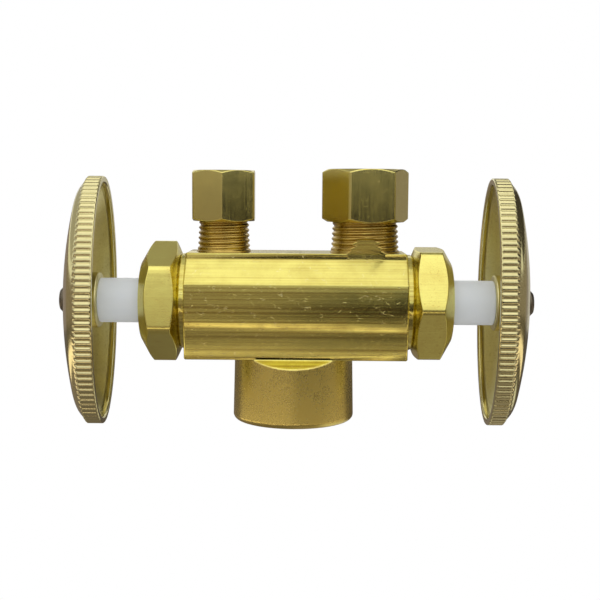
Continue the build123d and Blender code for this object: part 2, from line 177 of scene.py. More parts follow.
def filled(outline: np.ndarray, stride: float, closed: bool = True) -> np.ndarray:
    """An outline with more points on its long runs, so that no gap between points passes the stride.

    New points are read off the outline at even distances along it, and the outline's own points stay.

    Args:
        outline: the points, one row each.
        stride: the widest gap allowed between points.
        closed: whether the last point joins the first.

    Returns:
        The fuller outline.
    """
    loop = np.vstack([outline, outline[:1]]) if closed else outline
    travelled = np.concatenate([[0], np.cumsum(np.linalg.norm(np.diff(loop, axis=0), axis=1))])
    even = np.arange(stride, travelled[-1], stride)
    gap = np.abs(even[:, None] - travelled[None, :]).min(1)
    marks = np.sort(np.concatenate([travelled, even[gap > stride / 3]]))
    full = np.stack([np.interp(marks, travelled, loop[:, k]) for k in range(loop.shape[1])], 1)
    return full[:-1] if closed else full


def soft_min(first: np.ndarray, second: np.ndarray, blend: float) -> np.ndarray:
    """The smaller of two fields, with the crease between them rounded.

    It is the plain minimum less h squared times a quarter of the blend, where h is how far the two are
    from being a blend apart, as a share of the blend.

    Args:
        first: one field.
        second: the other field.
        blend: the difference within which the two run together.

    Returns:
        The blended field.
    """
    near = np.clip(blend - np.abs(first - second), 0, None) / blend
    return np.minimum(first, second) - near * near * blend / 4


def smooth_step(value: np.ndarray, low: float, high: float) -> np.ndarray:
    """A rise from 0 at the low mark to 1 at the high one, 3t squared less 2t cubed."""
    share = np.clip((value - low) / (high - low), 0, 1)
    return share * share * (3 - 2 * share)


def whole_turn(count: int) -> np.ndarray:
    """A row of even directions round a circle, in radians."""
    return np.linspace(0, 2 * math.pi, count, endpoint=False)[None, :]


def thread_wave(height: np.ndarray, angle: np.ndarray, pitch: float) -> np.ndarray:
    """Half of one less the cosine of the height over the pitch less the angle, both as whole turns."""
    phase = height / pitch - angle / (2 * math.pi)
    return 0.5 - 0.5 * np.cos(2 * math.pi * phase)


def hexagon_radius(angle: np.ndarray, flats: float, rounding: float) -> np.ndarray:
    """Distance from the middle of a hexagon with rounded corners to its edge.

    On a flat it is half the width over the cosine of the angle from that flat's normal. Nearer to a
    corner it is the far crossing of a ray with the corner's circle.

    Args:
        angle: directions in radians, with a corner at 0.
        flats: the width across the flats.
        rounding: the corners' radius.

    Returns:
        The distances.
    """
    half = flats / 2
    from_corner = np.abs((angle + math.pi / 6) % (math.pi / 3) - math.pi / 6)
    from_flat = math.pi / 6 - from_corner
    centre = (half - rounding) / math.cos(math.pi / 6)
    on_flat = half / np.cos(from_flat)
    under = np.clip(rounding ** 2 - (centre * np.sin(from_corner)) ** 2, 0, None)
    on_corner = centre * np.cos(from_corner) + np.sqrt(under)
    flat_end = (half - rounding) * math.tan(math.pi / 6)
    return np.where(half * np.tan(from_flat) <= flat_end, on_flat, on_corner)


def hexagon_angles(per_corner: int, corner: float) -> np.ndarray:
    """Directions round a hexagon, crowded towards its corners.

    Each corner has even shares from -1 to 1 round it. A share's size is raised to the crowding power and
    becomes that part of a twelfth of a turn.

    Args:
        per_corner: the number of directions for each of the six corners.
        corner: the direction of one corner, in radians.

    Returns:
        The directions in radians.
    """
    share = np.linspace(-1, 1, per_corner, endpoint=False)
    spread = np.sign(share) * np.abs(share) ** CROWDING * math.pi / 6
    corners = corner + np.arange(6)[:, None] * math.pi / 3
    return (corners + spread[None, :]).ravel()


def hexagon_wall(outline: np.ndarray, per_corner: int, turn: float, flats: float, rounding: float,
                 edge: float) -> tuple[np.ndarray, np.ndarray]:
    """A nut's wall: the smaller of a hexagon's radius and a turned outline's.

    Args:
        outline: the turned outline, as radius and place along the axis.
        per_corner: the number of directions for each corner.
        turn: the direction of one corner, in degrees.
        flats: the width across the flats.
        rounding: the corners' radius.
        edge: the difference within which the two radii run together.

    Returns:
        The directions in radians, and the radii, rows by columns.
    """
    corner = math.radians(turn)
    angle = hexagon_angles(per_corner, corner)[None, :]
    wall = hexagon_radius(angle - corner, flats, rounding)
    radius = soft_min(np.repeat(outline[:, :1], angle.size, 1), wall + 0 * outline[:, :1], edge)
    return angle, radius


def grid_piece(name: str, points: np.ndarray, closed: bool = True) -> bpy.types.Object:
    """An object from a grid of points, with doubles merged, poles closed and faces turned outwards.

    Neighbours in the rows and the columns are joined into four-sided faces.

    Args:
        name: the piece's name.
        points: rows by columns by three coordinates, in millimetres.
        closed: whether the last row and column join the first ones.

    Returns:
        The new object, at the origin.
    """
    rows, columns = points.shape[:2]
    index = np.arange(rows * columns).reshape(rows, columns)
    if closed:
        index = np.pad(index, ((0, 1), (0, 1)), mode="wrap")
    quads = np.stack([index[:-1, :-1], index[1:, :-1], index[1:, 1:], index[:-1, 1:]], 2)
    mesh = bpy.data.meshes.new(name)
    mesh.from_pydata(points.reshape(-1, 3) * MM, [], quads.reshape(-1, 4))
    form = bmesh.new()
    form.from_mesh(mesh)
    bmesh.ops.remove_doubles(form, verts=form.verts, dist=FINE)
    bmesh.ops.recalc_face_normals(form, faces=form.faces)
    form.to_mesh(mesh)
    form.free()
    mesh.shade_smooth()
    piece = bpy.data.objects.new(name, mesh)
    bpy.context.scene.collection.objects.link(piece)
    return piece


def face_vectors(mesh: bpy.types.Mesh) -> tuple[np.ndarray, np.ndarray]:
    """Where a mesh's faces look and lie.

    Args:
        mesh: the mesh.

    Returns:
        The faces' normals and their middles, one row each.
    """
    normal = np.empty(len(mesh.polygons) * 3)
    middle = np.empty(len(mesh.polygons) * 3)
    mesh.polygons.foreach_get("normal", normal)
    mesh.polygons.foreach_get("center", middle)
    return normal.reshape(-1, 3), middle.reshape(-1, 3)


def second_finish(piece: bpy.types.Object, chosen: np.ndarray) -> None:
    """Give each face whose entry is true the piece's second material."""
    piece.data.polygons.foreach_set("material_index", chosen.astype(np.int32))


def along_x(side: Side, reach: np.ndarray, radius: np.ndarray, angle: np.ndarray) -> np.ndarray:
    """Points round the valve axis: front to back is minus r cos a, upwards is r sin a.

    Args:
        side: the end of the valve.
        reach: distances outwards from the bar's middle.
        radius: distances from the valve axis.
        angle: directions in radians, 0 to the front and a quarter turn upwards.

    Returns:
        The points, in millimetres.
    """
    reach, radius, angle = np.broadcast_arrays(reach, radius, angle)
    return np.stack([
        BAR_MIDDLE + side.value * reach,
        -radius * np.cos(angle),
        AXIS_HEIGHT + radius * np.sin(angle),
    ], -1)


def upright(centre: float, height: np.ndarray, radius: np.ndarray, angle: np.ndarray) -> np.ndarray:
    """Points round an upright axis: X is r cos a from the centre, Y is r sin a.

    Args:
        centre: the axis's X.
        height: heights above the valve axis.
        radius: distances from the upright axis.
        angle: directions in radians.

    Returns:
        The points, in millimetres.
    """
    height, radius, angle = np.broadcast_arrays(height, radius, angle)
    return np.stack([
        centre + radius * np.cos(angle),
        radius * np.sin(angle),
        AXIS_HEIGHT + height,
    ], -1)


# Finishes


class Shader:
    """A node material in the making, with one method for each kind of node it needs."""

    def __init__(self, name: str) -> None:
        """Start a material that holds a Principled shader alone."""
        self.material = bpy.data.materials.new(name)
        self.material.use_nodes = True
        self.tree = self.material.node_tree
        self.surface = self.tree.nodes["Principled BSDF"]

    def node(self, kind: str, **settings: object) -> bpy.types.Node:
        """Add a node.

        Args:
            kind: the node's type.
            settings: the properties to set on it.

        Returns:
            The new node.
        """
        made = self.tree.nodes.new(kind)
        for key, value in settings.items():
            setattr(made, key, value)
        return made

    def feed(self, socket: bpy.types.NodeSocket, value: object) -> None:
        """Link an output to a socket, or set the socket.

        Args:
            socket: the input.
            value: the output that it takes, or its number, vector or colour.
        """
        if isinstance(value, bpy.types.NodeSocket):
            self.tree.links.new(value, socket)
        else:
            socket.default_value = value

    def place(self, stretch: tuple[float, float, float] = (1.0, 1.0, 1.0)) -> object:
        """Object coordinates in millimetres, each multiplied.

        Args:
            stretch: the factor along each axis.

        Returns:
            The vector output.
        """
        coordinates = self.node("ShaderNodeTexCoord")
        mapping = self.node("ShaderNodeMapping")
        mapping.inputs["Scale"].default_value = [s / MM for s in stretch]
        self.feed(mapping.inputs["Vector"], coordinates.outputs["Object"])
        return mapping.outputs["Vector"]

    def maths(self, operation: str, first: object, second: object = 0.0) -> object:
        """One Math node.

        Args:
            operation: what it does.
            first: its first number or output.
            second: its second one.

        Returns:
            The result's output.
        """
        made = self.node("ShaderNodeMath", operation=operation)
        self.feed(made.inputs[0], first)
        self.feed(made.inputs[1], second)
        return made.outputs[0]

    def rings(self, stretch: float) -> object:
        """Coordinates that stay the same round the Z axis: the distance from it and the height.

        The distance is the root of the sum of the squares of X and Y.

        Args:
            stretch: the factor on both.

        Returns:
            The vector output.
        """
        split = self.node("ShaderNodeSeparateXYZ")
        self.feed(split.inputs[0], self.place())
        squares = [self.maths("POWER", self.maths("ABSOLUTE", split.outputs[k]), 2.0) for k in "XY"]
        radius = self.maths("SQRT", self.maths("ADD", *squares))
        joined = self.node("ShaderNodeCombineXYZ")
        self.feed(joined.inputs[0], self.maths("MULTIPLY", radius, stretch))
        self.feed(joined.inputs[1], self.maths("MULTIPLY", split.outputs["Z"], stretch))
        return joined.outputs[0]

    def noise(self, vector: object, scale: float, detail: float = 3.0, rough: float = 0.55) -> object:
        """Noise between 0 and 1.

        Args:
            vector: the coordinates.
            scale: how many lumps lie along one unit of them.
            detail: how many finer layers are added.
            rough: how strong each finer layer is beside the one before.

        Returns:
            The noise's output.
        """
        made = self.node("ShaderNodeTexNoise")
        self.feed(made.inputs["Vector"], vector)
        made.inputs["Scale"].default_value = scale
        made.inputs["Detail"].default_value = detail
        made.inputs["Roughness"].default_value = rough
        return made.outputs["Fac"]

    def span(self, value: object, low: float, high: float, out_low: float, out_high: float,
             rise: str = "LINEAR") -> object:
        """A value carried from one range to another, and held at its ends.

        Args:
            value: the value's output.
            low: where the first range starts.
            high: where it ends.
            out_low: the result at the start.
            out_high: the result at the end.
            rise: LINEAR, or SMOOTHSTEP for a rise that eases in and out.

        Returns:
            The result's output.
        """
        made = self.node("ShaderNodeMapRange", interpolation_type=rise)
        numbers = {"From Min": low, "From Max": high, "To Min": out_low, "To Max": out_high}
        for name, number in numbers.items():
            made.inputs[name].default_value = number
        self.feed(made.inputs["Value"], value)
        return made.outputs["Result"]

    def blend(self, share: object, first: object, second: object) -> object:
        """Two colours mixed.

        Args:
            share: how much of the second shows, 0 to 1.
            first: the colour beneath.
            second: the colour above.

        Returns:
            The mixed colour's output.
        """
        made = self.node("ShaderNodeMix", data_type="RGBA")
        self.feed(made.inputs["Factor"], share)
        self.feed(made.inputs["A"], first)
        self.feed(made.inputs["B"], second)
        return made.outputs["Result"]

    def bump(self, height: object, depth: float, below: object = None) -> object:
        """A bump normal.

        Args:
            height: the height field.
            depth: how high a full step of it stands, in millimetres.
            below: the normal of the bump beneath, where there is one.

        Returns:
            The normal output.
        """
        made = self.node("ShaderNodeBump")
        made.inputs["Strength"].default_value = 1.0
        made.inputs["Distance"].default_value = depth * MM
        self.feed(made.inputs["Height"], height)
        if below is not None:
            self.feed(made.inputs["Normal"], below)
        return made.outputs["Normal"]


def colour(red: float, green: float, blue: float) -> tuple[float, float, float, float]:
    """A colour with full cover, from linear shares."""
    return red, green, blue, 1.0


@dataclass(frozen=True)
class Brass:
    """Bare brass, with the fine lines of its last working, a little tarnish and small nicks.

    A share is how far a mark goes towards the tarnish or the scratches' colour, which is bare brass made
    paler as a painted glint. Depths are in millimetres.
    """

    name: str
    grain: Grain
    base: tuple[float, float, float] = (0.83, 0.75, 0.21)
    tarnish: tuple[float, float, float] = (0.66, 0.50, 0.12)
    tarnish_share: float = 0.25
    band_share: float = 0.0
    speck_share: float = 0.0
    scratch_share: float = 0.0
    # the scratches' colour: bare brass, paler than it is as a painted glint
    scratch_bare_and_glint: tuple[float, float, float] = (0.98, 0.93, 0.62)
    roughness: float = 0.16
    roughness_spread: float = 0.07
    line_depth: float = 0.0015
    nick_depth: float = 0.02
    band_stretch: tuple[float, float, float] = (0.01, 2.2, 2.2)
    scratch_width: float = 0.008

    def lines(self, shader: Shader) -> object:
        """Noise in this grain's fine lines, 0 to 1.

        Args:
            shader: the material in the making.

        Returns:
            The noise's output.
        """
        stretch = self.grain.value
        turned = self.grain is Grain.TURNED_ABOUT_Z
        vector = shader.rings(stretch[0]) if turned else shader.place(stretch)
        return shader.noise(vector, 1.6, 5.0, 0.65)

    def scratches(self, shader: Shader, plain: object) -> object:
        """Short wandering hairlines: where one noise passes its middle and another is high.

        Args:
            shader: the material in the making.
            plain: its plain coordinates.

        Returns:
            The cover of the scratches, 0 to their share.
        """
        wander = shader.noise(plain, 0.42, 2.0, 0.5)
        from_middle = shader.maths("ABSOLUTE", shader.maths("SUBTRACT", wander, 0.5))
        line = shader.span(from_middle, 0.0, self.scratch_width, self.scratch_share, 0.0)
        patch = shader.span(shader.noise(plain, 0.9, 1.0), 0.52, 0.6, 0.0, 1.0)
        return shader.maths("MULTIPLY", line, patch)

    def tarnished(self, shader: Shader, lines: object, clouds: object, specks: object) -> object:
        """How far each place has gone from the base colour to the tarnish.

        Clouds add up to the tarnish's share and lines take a little away or add a little. Long bands
        along the bar and specks add up to their own shares.

        Args:
            shader: the material in the making.
            lines: the noise in fine lines.
            clouds: the noise in broad patches.
            specks: the noise in small spots.

        Returns:
            The cover's output.
        """
        dull = shader.maths("MULTIPLY", shader.span(clouds, 0.42, 0.68, 0.0, 1.0), self.tarnish_share)
        cover = shader.maths("ADD", dull, shader.span(lines, 0.35, 0.7, -0.08, 0.2))
        if self.band_share:
            bands = shader.noise(shader.place(self.band_stretch), 0.9, 4.0, 0.65)
            cover = shader.maths("ADD", cover, shader.span(bands, 0.44, 0.62, 0.0, self.band_share))
        if self.speck_share:
            spots = shader.span(specks, 0.58, 0.72, 0.0, self.speck_share)
            cover = shader.maths("ADD", cover, spots)
        return cover

    def build(self) -> bpy.types.Material:
        """Make the finish.

        Returns:
            The new material.
        """
        shader = Shader(self.name)
        surface = shader.surface
        surface.inputs["Metallic"].default_value = 1.0
        plain = shader.place()
        lines = self.lines(shader)
        clouds = shader.noise(plain, 0.22, 4.0, 0.6)
        specks = shader.noise(plain, 2.4, 3.0, 0.7)
        cover = self.tarnished(shader, lines, clouds, specks)
        shown = shader.blend(cover, colour(*self.base), colour(*self.tarnish))
        worn = shader.span(lines, 0.3, 0.7, self.roughness, self.roughness + self.roughness_spread)
        patches = shader.span(clouds, 0.4, 0.7, 0.0, self.roughness_spread * 0.7)
        shader.feed(surface.inputs["Roughness"], shader.maths("ADD", worn, patches))
        ridges = shader.bump(lines, self.line_depth)
        pits = shader.span(specks, 0.64, 0.76, 1.0, 0.0)
        relief = shader.bump(pits, self.nick_depth * 0.4, ridges)
        if self.scratch_share:
            scratches = self.scratches(shader, plain)
            # scratches show bare brass, paled further as a painted glint
            shown = shader.blend(scratches, shown, colour(*self.scratch_bare_and_glint))
            relief = shader.bump(shader.maths("SUBTRACT", 1.0, scratches), self.nick_depth, relief)
        shader.feed(surface.inputs["Base Color"], shown)
        shader.feed(surface.inputs["Normal"], relief)
        return shader.material


@dataclass(frozen=True)
class WhiteAcetal:
    """Milky plastic that lets a little light through."""

    name: str = "white_acetal"
    base: tuple[float, float, float] = (0.93, 0.97, 1.0)
    shaded: tuple[float, float, float] = (0.88, 0.92, 0.97)
    roughness: float = 0.33
    roughness_spread: float = 0.12
    light_share: float = 0.6
    light_reach: float = 1.5
    relief: float = 0.01

    def build(self) -> bpy.types.Material:
        """Make the finish.

        Returns:
            The new material.
        """
        shader = Shader(self.name)
        plain = shader.place()
        clouds = shader.noise(plain, 0.35, 3.0)
        surface = shader.surface
        shader.feed(surface.inputs["Base Color"],
                    shader.blend(clouds, colour(*self.base), colour(*self.shaded)))
        roughest = self.roughness + self.roughness_spread
        shader.feed(surface.inputs["Roughness"],
                    shader.span(clouds, 0.3, 0.7, self.roughness, roughest))
        surface.inputs["Subsurface Weight"].default_value = self.light_share
        surface.inputs["Subsurface Radius"].default_value = (1.0, 1.0, 1.0)
        surface.inputs["Subsurface Scale"].default_value = self.light_reach * MM
        shader.feed(surface.inputs["Normal"], shader.bump(shader.noise(plain, 1.4, 3.0), self.relief))
        return shader.material


@dataclass(frozen=True)
class DullSolid:
    """A plain dark material with fine grain: rubber or plated steel."""

    name: str
    base: tuple[float, float, float]
    metallic: float
    roughness: float
    roughness_spread: float = 0.15
    dark_share: float = 0.7
    relief: float = 0.01

    def build(self) -> bpy.types.Material:
        """Make the finish.

        Returns:
            The new material.
        """
        shader = Shader(self.name)
        grain = shader.noise(shader.place(), 2.5, 4.0)
        surface = shader.surface
        surface.inputs["Metallic"].default_value = self.metallic
        darker = tuple(self.dark_share * c for c in self.base)
        shader.feed(surface.inputs["Base Color"],
                    shader.blend(grain, colour(*self.base), colour(*darker)))
        roughest = self.roughness + self.roughness_spread
        shader.feed(surface.inputs["Roughness"],
                    shader.span(grain, 0.3, 0.7, self.roughness, roughest))
        shader.feed(surface.inputs["Normal"], shader.bump(grain, self.relief))
        return shader.material


def dress(piece: bpy.types.Object, body: str, slot: str, *nodes: str,
          finishes: tuple[bpy.types.Material, ...] = ()) -> bpy.types.Object:
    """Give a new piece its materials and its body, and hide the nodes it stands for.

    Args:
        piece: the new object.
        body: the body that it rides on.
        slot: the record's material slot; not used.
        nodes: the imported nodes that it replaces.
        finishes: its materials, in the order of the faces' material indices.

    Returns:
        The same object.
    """
    for finish in finishes:
        piece.data.materials.append(finish)
    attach(piece, body)
    if nodes:
        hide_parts(*nodes)
    log.info("%s: %d faces on %s", piece.name, len(piece.data.polygons), body)
    return piece


# The valve body


@dataclass(frozen=True)
class Outlet:
    """An outlet's thread diameter, tube socket radius and port diameter."""

    name: str
    thread: float
    socket: float
    port: float


@dataclass
class ValveBody:
    """The machined bar with its boss and spigots, and its two threaded outlets.

    A half is the distance from the middle to the front or the back. Packed heights are the solid's,
    where the picture follows the worn bar instead. A facing is the least share of a normal that counts.
    """

    outlets: tuple[Outlet, ...] = (Outlet("small", 10.9, 3.25, 4.4), Outlet("large", 14.1, 4.8375, 6.8))
    bar_top: float = 10.4
    packed_bar_top: float = 10.7
    strip_foot: float = 9.1
    packed_strip_foot: float = 9.6
    outside_from: float = 10.4
    bar_underside: float = 11.0
    bar_half: float = 10.7
    flat_half: float = 4.4
    cut_margin: float = 0.01
    flat_angle: float = 1.5
    near: float = 0.02
    edge_width: float = 0.14
    edge_angle: float = 24.0
    soft_edge: float = 1.3
    slope_low: float = 5.0
    slope_high: float = 8.9
    slope_half: float = 6.2
    slope_reach: float = 21.0
    slope_facing: float = 0.4
    flare_facing: float = 0.5
    flat_facing: float = 0.99
    pitch: float = 25.4 / 24
    steps_per_pitch: int = 10
    thread_depth: float = 0.36
    thread_power: float = 1.3
    thread_taper: float = 0.05
    thread_start: float = 0.1
    thread_full: float = 0.9
    thread_wall: float = 0.55
    thread_chamfer: float = 0.5
    foot_swell: float = 0.15
    foot_overlap: float = 0.2
    outlet_height: float = 22.4
    socket_depth: float = 8.0
    mouth_flare: float = 0.95
    small_edge: float = 0.1
    leg_neck_half: float = 6.35
    leg_neck_low_half: float = 6.1
    leg_neck_end: float = 13.2
    leg_half: float = 7.64
    leg_flare_end: float = 14.6
    leg_skin: float = 0.03
    leg_share: float = 0.99
    foot_half: float = 9.4
    flare_half: float = 13.1
    flare_end: float = 12.8
    flare_edge: float = 0.2
    boss_reach: float = 24.6
    boss_top: float = 12.3
    boss_mouth: float = 12.6
    boss_edge: float = 1.1
    boss_overlap: float = 0.5
    inlet_bore: float = 9.16
    inlet_length: float = 12.0
    countersink: float = 0.8
    countersink_edge: float = 0.15
    drill_slope: float = 0.6
    pipe_pitch: float = 25.4 / 14
    pipe_depth: float = 1.0
    pipe_run_out: float = 2.5
    pipe_end: float = 0.2

    def bar_piece(self) -> bpy.types.Object:
        """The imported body's own mesh, cut off above and below the bar, with its edges eased.

        Returns:
            The new object.
        """
        source = frame["nodes"]["valve_body"].data
        form = bmesh.new()
        form.from_mesh(source)
        bmesh.ops.remove_doubles(form, verts=form.verts, dist=FINE)
        above = self.packed_bar_top + self.cut_margin
        below = -self.bar_underside - self.cut_margin
        for height, way in ((above, 1), (below, -1)):
            level = (AXIS_HEIGHT + height) * MM
            everything = form.verts[:] + form.edges[:] + form.faces[:]
            cut = bmesh.ops.bisect_plane(form, geom=everything, dist=FINE / 10, plane_co=(0, 0, level),
                                         plane_no=(0, 0, way), clear_outer=True)
            rims = [e for e in cut["geom_cut"] if isinstance(e, bmesh.types.BMEdge)]
            bmesh.ops.triangle_fill(form, edges=rims, use_beauty=True)
        bmesh.ops.dissolve_limit(form, angle_limit=math.radians(self.flat_angle), verts=form.verts,
                                 edges=form.edges)
        bmesh.ops.recalc_face_normals(form, faces=form.faces)
        mesh = bpy.data.meshes.new("drawn_bar")
        form.to_mesh(mesh)
        form.free()
        self.lower_shoulders(mesh)
        mesh.shade_smooth()
        self.weigh_edges(mesh)
        piece = bpy.data.objects.new("drawn_bar", mesh)
        bpy.context.scene.collection.objects.link(piece)
        bevel = piece.modifiers.new("eased edges", "BEVEL")
        bevel.width = self.soft_edge * MM
        bevel.segments = 3
        bevel.limit_method = "WEIGHT"
        bevel.use_clamp_overlap = False
        bevel.harden_normals = True
        return piece

    def lower_shoulders(self, mesh: bpy.types.Mesh) -> None:
        """Bring the bar's upper slopes and top down to their worn heights.

        Heights outside the bored middle are read off a line with a bend at the slopes' upper edge, so
        the slopes stay flat.

        Args:
            mesh: the bar's mesh.
        """
        flat = np.empty(len(mesh.vertices) * 3)
        mesh.vertices.foreach_get("co", flat)
        points = flat.reshape(-1, 3) / MM
        height = points[:, 2] - AXIS_HEIGHT
        outside = np.hypot(points[:, 1], height) > self.outside_from
        lowered = np.interp(height, [self.flat_half, self.packed_strip_foot, self.packed_bar_top],
                            [self.flat_half, self.strip_foot, self.bar_top])
        moved = outside & (height > self.flat_half)
        points[:, 2] = np.where(moved, AXIS_HEIGHT + lowered, points[:, 2])
        mesh.vertices.foreach_set("co", (points * MM).ravel())

    def weigh_edges(self, mesh: bpy.types.Mesh) -> None:
        """Give each edge its share of the bevel's width.

        The two edges under the front and back faces are worn round. Every other edge that turns by more
        than the edge angle is only eased, but for those within a slope, away from the bar's ends. The
        turn is the angle between the normals of an edge's two faces.

        Args:
            mesh: the bar's mesh.
        """
        form = bmesh.new()
        form.from_mesh(mesh)
        turns = np.array([edge.calc_face_angle(0.0) for edge in form.edges])
        ends = np.array([[corner.co for corner in edge.verts] for edge in form.edges]) / MM
        form.free()
        level = np.abs(ends[:, :, 2] - (AXIS_HEIGHT - self.flat_half)).max(1) < self.near
        at_face = np.abs(np.abs(ends[:, :, 1]) - self.bar_half).max(1) < self.near
        weight = np.where(turns > math.radians(self.edge_angle), self.edge_width / self.soft_edge, 0.0)
        weight = np.where(level & at_face, 1.0, weight)
        height = ends[:, :, 2] - AXIS_HEIGHT
        on_slope = (height > self.slope_low) & (height < self.slope_high)
        on_slope = (on_slope & (np.abs(ends[:, :, 1]) > self.slope_half)).all(1)
        away = (np.abs(ends[:, :, 0] - BAR_MIDDLE) < self.slope_reach).all(1)
        weight = np.where(on_slope & away, 0.0, weight)
        layer = mesh.attributes.new("bevel_weight_edge", "FLOAT", "EDGE")
        layer.data.foreach_set("value", weight.astype(np.float32))

    def outlet_piece(self, outlet: Outlet) -> bpy.types.Object:
        """One outlet: its outside thread, widened mouth, tube socket and port.

        The wall's radius is the crest's less the thread's depth times a power of the thread's wave,
        which winds up to the right. The upper leg of the bar's section then limits how far the outlet
        reaches to the front and to the back.

        Args:
            outlet: the outlet's sizes.

        Returns:
            The new object.
        """
        crest, socket = outlet.thread / 2, outlet.socket
        port = outlet.port / 2 + self.near
        low, high = self.strip_foot + self.foot_overlap, self.outlet_height
        floor = high - self.socket_depth
        outline = rounded(
            [(crest, low), (crest, high - self.thread_chamfer), (crest - self.thread_chamfer, high),
             (socket + self.mouth_flare, high), (socket, high - self.mouth_flare), (socket, floor),
             (port, floor), (port, low)],
            [0] + [self.small_edge] * 6 + [0])
        outline = filled(outline, self.pitch / self.steps_per_pitch)
        angle = whole_turn(240)
        radius, height = outline[:, :1], outline[:, 1:]
        wave = thread_wave(height, angle, self.pitch) ** self.thread_power
        outside = (radius > crest - self.thread_wall) & (height > low)
        radius = radius - outside * self.thread_taper * np.clip(height - self.bar_top, 0, None)
        full = self.bar_top + self.thread_full
        run_in = smooth_step(height, self.bar_top + self.thread_start, full)
        radius = radius - outside * wave * run_in * self.thread_depth
        radius = radius + outside * self.foot_swell * (1 - smooth_step(height, self.bar_top, full))
        points = upright(joint_place(outlet.name + "_nut_turn").x, height, radius, angle)
        half = np.interp(height, [self.bar_top, self.leg_neck_end, self.leg_flare_end],
                         [self.leg_neck_low_half, self.leg_neck_half, self.leg_half])
        half = np.where(height > self.leg_flare_end, 2 * self.leg_half, half)
        points[..., 1] = np.clip(points[..., 1], -half - self.leg_skin, half + self.leg_skin)
        return grid_piece(outlet.name + "_outlet_thread", points)

    def boss_piece(self) -> bpy.types.Object:
        """The inlet boss: its turned outside and mouth, its pipe thread and the drilled cone.

        The bore's radius grows by the thread's depth times the thread's wave. Below the bar the
        section's flare limits the front and back.

        Returns:
            The new object.
        """
        low, high = -self.boss_reach, self.boss_overlap - self.bar_underside
        bore = self.inlet_bore
        start = low + self.countersink
        floor = start + self.inlet_length
        cone = bore - (high - floor) / self.drill_slope - self.leg_skin
        outline = rounded(
            [(self.boss_top, high), (self.boss_mouth, low), (bore + self.countersink, low),
             (bore, start), (bore, floor), (cone, high)],
            [0, self.boss_edge, self.countersink_edge, self.small_edge, self.small_edge, 0], 7)
        outline = filled(outline, self.pipe_pitch / self.steps_per_pitch)
        angle = whole_turn(288)
        radius, height = outline[:, :1], outline[:, 1:]
        run_in = smooth_step(height, start, start + self.thread_full)
        threaded = (np.abs(radius - bore) < self.near) * run_in
        run_out = smooth_step(height, floor - self.pipe_run_out, floor - self.pipe_end)
        depth = threaded * (1 - run_out) * thread_wave(height, angle, self.pipe_pitch) * self.pipe_depth
        points = upright(0.0, height, radius + depth, angle)
        half = np.interp(height, [-self.flare_end, -self.bar_underside],
                         [self.flare_half, self.foot_half])
        reach = soft_min(np.abs(points[..., 1]), half + 0 * angle, self.flare_edge)
        points[..., 1] = np.sign(points[..., 1]) * reach
        return grid_piece("inlet_boss", points)

    def make(self, drawn: Brass, worn: Brass, turned: Brass, cast: Brass) -> None:
        """Build and dress the body's pieces.

        Args:
            drawn: the finish of the bar's flats.
            worn: the finish of its upper slopes.
            turned: the finish of the turned outlets.
            cast: the finish of the boss.
        """
        turned_finish = turned.build()
        drawn_finish = drawn.build()
        bar = self.bar_piece()
        dress(bar, "root", "body_brass", "valve_body", finishes=(drawn_finish, worn.build()))
        normal, _ = face_vectors(bar.data)
        upward, outward = normal[:, 2], np.abs(normal[:, 1])
        second_finish(bar, (upward > self.slope_facing) & (outward > self.slope_facing))
        boss = self.boss_piece()
        dress(boss, "root", "body_brass", "valve_body", finishes=(cast.build(), drawn_finish))
        normal, middle = face_vectors(boss.data)
        beyond_foot = np.abs(middle[:, 1]) > self.foot_half * MM
        second_finish(boss, (normal[:, 2] > self.flare_facing) & beyond_foot)
        for outlet in self.outlets:
            piece = self.outlet_piece(outlet)
            dress(piece, "root", "body_brass", "valve_body", finishes=(turned_finish, drawn_finish))
            normal, middle = face_vectors(piece.data)
            at_leg = np.abs(middle[:, 1]) > self.leg_share * self.leg_neck_low_half * MM
            second_finish(piece, (np.abs(normal[:, 1]) > self.flat_facing) & at_leg)


# Nuts


@dataclass
class CompressionNut:
    """Hexagonal nut that closes an outlet on its sleeve."""

    name: str
    flats: float
    bore: float
    hole: float
    turn: float
    rounding: float = 0.7
    end_slope: float = 0.58
    edge: float = 0.12
    inner_edge: float = 0.1
    hole_wall: float = 1.6
    beyond_corner: float = 0.4
    steps_per_chamfer: float = 3.5

    def make(self, finish: Brass) -> None:
        """Build and dress the nut, whose turned outline is chamfered at both ends.

        Args:
            finish: the nut's brass.
        """
        node = self.name + "_compression_nut"
        low, high = (corner.z - AXIS_HEIGHT for corner in node_box(node))
        centre = joint_place(self.name + "_nut_turn").x
        corner = self.flats / math.sqrt(3)
        rise = (corner - self.flats / 2) * self.end_slope
        past = corner + self.beyond_corner
        past_rise = (past - self.flats / 2) * self.end_slope
        cone_top = high - self.hole_wall
        outline = rounded(
            [(self.bore, low), (self.flats / 2, low), (past, low + past_rise), (past, high - past_rise),
             (self.flats / 2, high), (self.hole, high), (self.hole, cone_top),
             (self.bore, cone_top - (self.bore - self.hole))],
            [self.edge, self.edge, 0, 0, self.edge, self.edge, self.inner_edge, self.inner_edge])
        outline = filled(outline, rise / self.steps_per_chamfer)
        angle, radius = hexagon_wall(outline, 40, self.turn, self.flats, self.rounding, self.edge)
        piece = grid_piece(self.name + "_hex_nut", upright(centre, outline[:, 1:], radius, angle))
        dress(piece, self.name + "_nut", "nut_brass", node, finishes=(finish.build(),))


